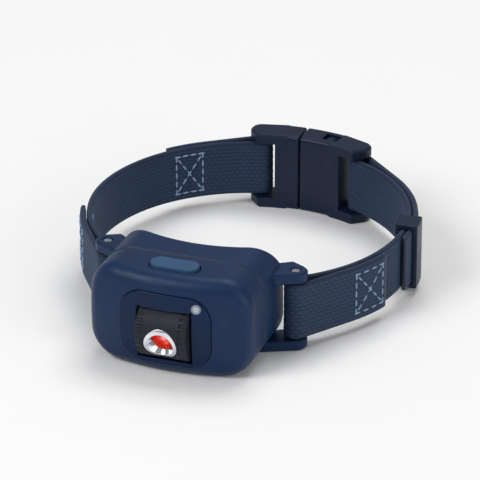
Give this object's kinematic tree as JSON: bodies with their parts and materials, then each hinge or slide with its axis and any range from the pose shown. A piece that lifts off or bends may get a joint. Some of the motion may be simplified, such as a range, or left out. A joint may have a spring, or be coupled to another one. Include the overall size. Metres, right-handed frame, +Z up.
{
  "type": "cat laser collar",
  "caption": "Kitten collar with a throat pod whose tilting turret throws a laser dot ahead; webbing band, keeper and breakaway clip.",
  "frame": {"origin": "on the neck axis, at the middle of the webbing's width", "axes": "+Z up along the neck axis, -Y to the pod at the throat, +Y to the clip, +X to the wearer's left"},
  "size_m": [0.069, 0.0885, 0.0217],
  "materials": {
    "shell": "satin moulded",
    "plate": "gloss",
    "drum": "fine matte",
    "seal": "matte",
    "button": "soft-touch matte",
    "screw": "plain",
    "pin": "polished",
    "brass": "turned",
    "bezel": "polished",
    "lens": "clear",
    "light": "frosted",
    "board": "solder resist",
    "chip": "matte",
    "metal": "stamped",
    "cell": "foil pouch",
    "foam": "foam",
    "wire": "insulation",
    "webbing": "woven nylon",
    "clip": "fine textured"
  },
  "bodies": {
    "pod": {"front_shell": "shell", "rear_cover": "shell", "face_plate": "plate", "seal_gasket": "seal", "cover_screws": "screw", "turret_retainer": "drum", "circuit_board": "board", "board_components": "chip", "mode_switch": "chip", "status_led": "light", "light_pipe": "light", "usb_port": "metal", "battery_cell": "cell", "battery_pad": "foam", "battery_leads": "wire", "laser_leads": "wire", "left_strap_pin": "pin", "right_strap_pin": "pin"},
    "turret": {"laser_turret": "drum", "laser_barrel": "brass", "aperture_bezel": "bezel", "collimating_lens": "lens", "lens_nut": "brass", "laser_diode": "metal"},
    "button": {"mode_button": "button", "switch_plunger": "chip"},
    "flap": {"port_flap": "seal"},
    "left_half": {"left_strap": "webbing", "buckle_tongue": "clip"},
    "right_half": {"right_strap": "webbing", "buckle_socket": "clip"},
    "keeper": {"tail_keeper": "clip"}
  },
  "joints": [
    {"name": "laser_aim", "type": "hinge", "parent": "pod", "child": "turret", "pos_m": [0, -0.0453, 0.0006], "axis": [1, 0, 0], "range_deg": [-15, 15], "deforming": ["laser_leads"]},
    {"name": "mode_button_press", "type": "slide", "parent": "pod", "child": "button", "axis": [0, 0, -1], "range_m": [0, 0.0005], "stiffness_N_per_m": 600},
    {"name": "flap_open", "type": "hinge", "parent": "pod", "child": "flap", "pos_m": [-0.0168, -0.04085, -0.0028], "axis": [0, -1, 0], "range_deg": [0, 100]},
    {"name": "left_half_swing", "type": "hinge", "parent": "pod", "child": "left_half", "pos_m": [-0.0199, -0.02812, 0], "axis": [0, 0, 1], "range_deg": [0, 60]},
    {"name": "right_half_swing", "type": "hinge", "parent": "pod", "child": "right_half", "pos_m": [0.0199, -0.02812, 0], "axis": [0, 0, 1], "range_deg": [-60, 0]},
    {"name": "keeper_slide", "type": "hinge", "parent": "right_half", "child": "keeper", "pos_m": [0, 0, 0], "axis": [0, 0, 1], "range_deg": [-5, 30]}
  ],
  "couplings": [
    {"joint": "right_half_swing", "follows": "left_half_swing", "ratio": -1}
  ]
}
